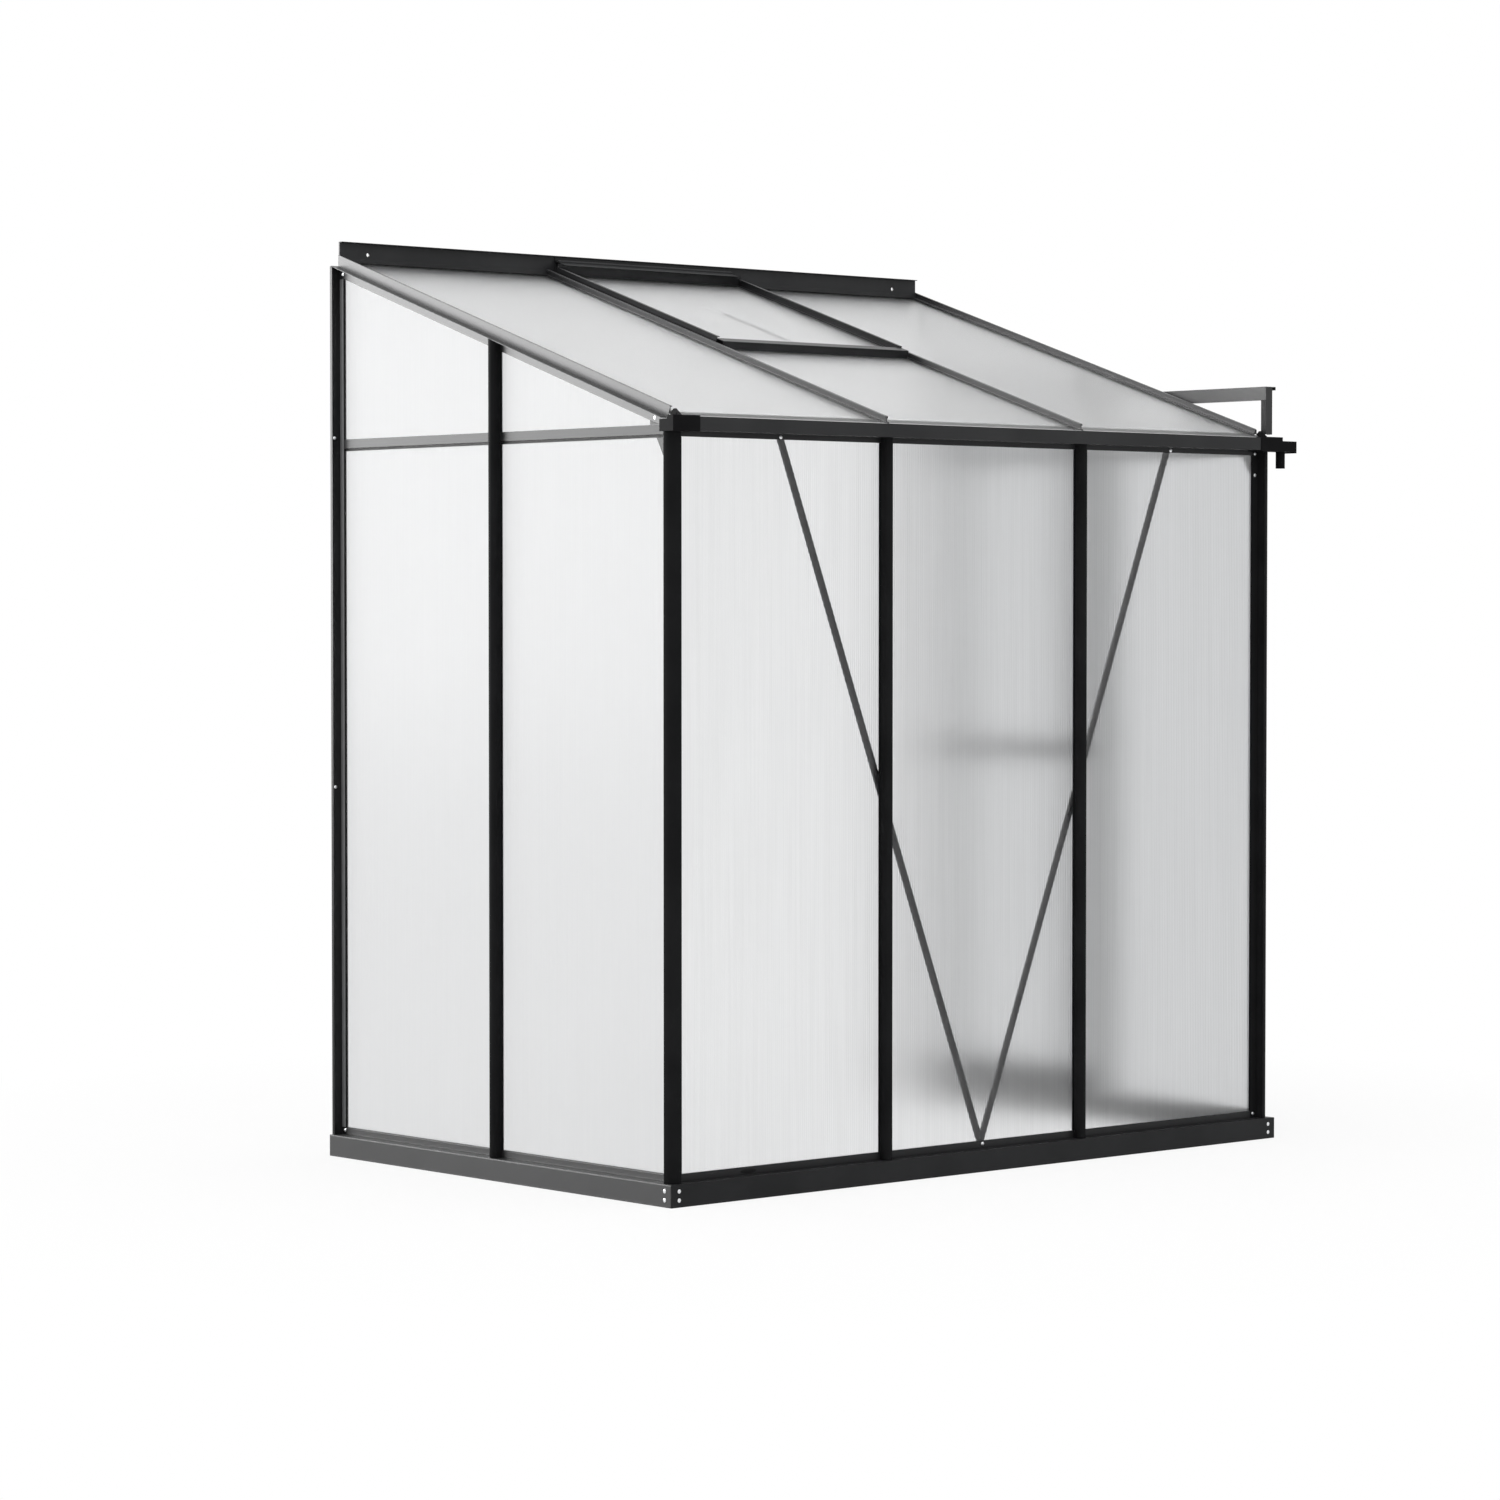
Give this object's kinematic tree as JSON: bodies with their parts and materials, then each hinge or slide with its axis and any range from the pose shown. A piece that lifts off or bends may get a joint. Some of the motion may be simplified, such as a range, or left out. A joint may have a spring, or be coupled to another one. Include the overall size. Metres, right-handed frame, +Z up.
{
  "type": "lean to greenhouse",
  "caption": "Lean-to greenhouse with a pent roof, translucent twin-wall panels in a dark metal frame, a gutter, a hinged roof vent and a sliding gable door.",
  "frame": {"origin": "centre of the bounding box's underside, at ground level", "axes": "+X to the door gable and the gutter outlet, +Y to the house wall, +Z up"},
  "size_m": [1.961, 1.233, 2.1135],
  "materials": {
    "frame_coat": "satin anthracite powder coat",
    "base_coat": "satin anthracite powder coat",
    "twinwall_sheet": "translucent twin-wall polycarbonate",
    "black_plastic": "moulded black plastic",
    "roller_plastic": "smooth nylon",
    "bolt_steel": "zinc plated"
  },
  "bodies": {
    "frame": {"base_brackets": "base_coat", "base_front": "base_coat", "base_left": "base_coat", "base_right": "base_coat", "bolt_heads": "bolt_steel", "brace_left": "frame_coat", "brace_right": "frame_coat", "corner_post_left": "frame_coat", "corner_post_right": "frame_coat", "door_track": "frame_coat", "eave_beam": "frame_coat", "eave_gussets": "frame_coat", "girt_left": "frame_coat", "girt_right": "frame_coat", "gutter_cap": "black_plastic", "gutter_outlet": "black_plastic", "panel_front_left": "twinwall_sheet", "panel_front_mid": "twinwall_sheet", "panel_front_right": "twinwall_sheet", "panel_left_front": "twinwall_sheet", "panel_left_front_upper": "twinwall_sheet", "panel_left_rear": "twinwall_sheet", "panel_left_rear_upper": "twinwall_sheet", "panel_over_door": "twinwall_sheet", "panel_right_front": "twinwall_sheet", "panel_right_front_upper": "twinwall_sheet", "panel_roof_left": "twinwall_sheet", "panel_roof_mid": "twinwall_sheet", "panel_roof_right": "twinwall_sheet", "rafter_left": "frame_coat", "rafter_mid_left": "frame_coat", "rafter_mid_right": "frame_coat", "rafter_right": "frame_coat", "roof_cross_bar": "frame_coat", "sill_front": "frame_coat", "sill_left": "frame_coat", "sill_right": "frame_coat", "stud_front_left": "frame_coat", "stud_front_right": "frame_coat", "stud_left": "frame_coat", "stud_right": "frame_coat", "track_strut": "frame_coat", "vent_hinge": "frame_coat", "wall_beam": "frame_coat", "wall_post_left": "frame_coat", "wall_post_right": "frame_coat"},
    "door": {"door_handle": "black_plastic", "door_hangers": "frame_coat", "door_panel_lower": "twinwall_sheet", "door_panel_upper": "twinwall_sheet", "door_rail_bottom": "frame_coat", "door_rail_mid": "frame_coat", "door_rail_top": "frame_coat", "door_stile_front": "frame_coat", "door_stile_rear": "frame_coat"},
    "roller_front": {"door_roller_front": "roller_plastic"},
    "roller_rear": {"door_roller_rear": "roller_plastic"},
    "vent": {"vent_frame": "frame_coat", "vent_panel": "twinwall_sheet"},
    "stay": {"vent_stay": "frame_coat"}
  },
  "joints": [
    {"name": "door_slide", "type": "slide", "parent": "frame", "child": "door", "axis": [0, -1, 0], "range_m": [0, 0.52]},
    {"name": "roller_front_spin", "type": "hinge", "parent": "door", "child": "roller_front", "pos_m": [0.928, 0.0275, 1.7755], "axis": [1, 0, 0], "range_deg": [0, 3312]},
    {"name": "roller_rear_spin", "type": "hinge", "parent": "door", "child": "roller_rear", "pos_m": [0.928, 0.5425, 1.7755], "axis": [1, 0, 0], "range_deg": [0, 3312]},
    {"name": "vent_hinge_turn", "type": "hinge", "parent": "frame", "child": "vent", "pos_m": [-0.0235, 0.6055, 2.09999], "axis": [-1, 0, 0], "range_deg": [0, 28]},
    {"name": "stay_swing", "type": "hinge", "parent": "vent", "child": "stay", "pos_m": [-0.0235, 0.0417, 1.87604], "axis": [-1, 0, 0], "range_deg": [0, 80]}
  ],
  "couplings": [
    {"joint": "roller_front_spin", "follows": "door_slide", "rad_per_m": 111.11},
    {"joint": "roller_rear_spin", "follows": "door_slide", "rad_per_m": 111.11}
  ]
}
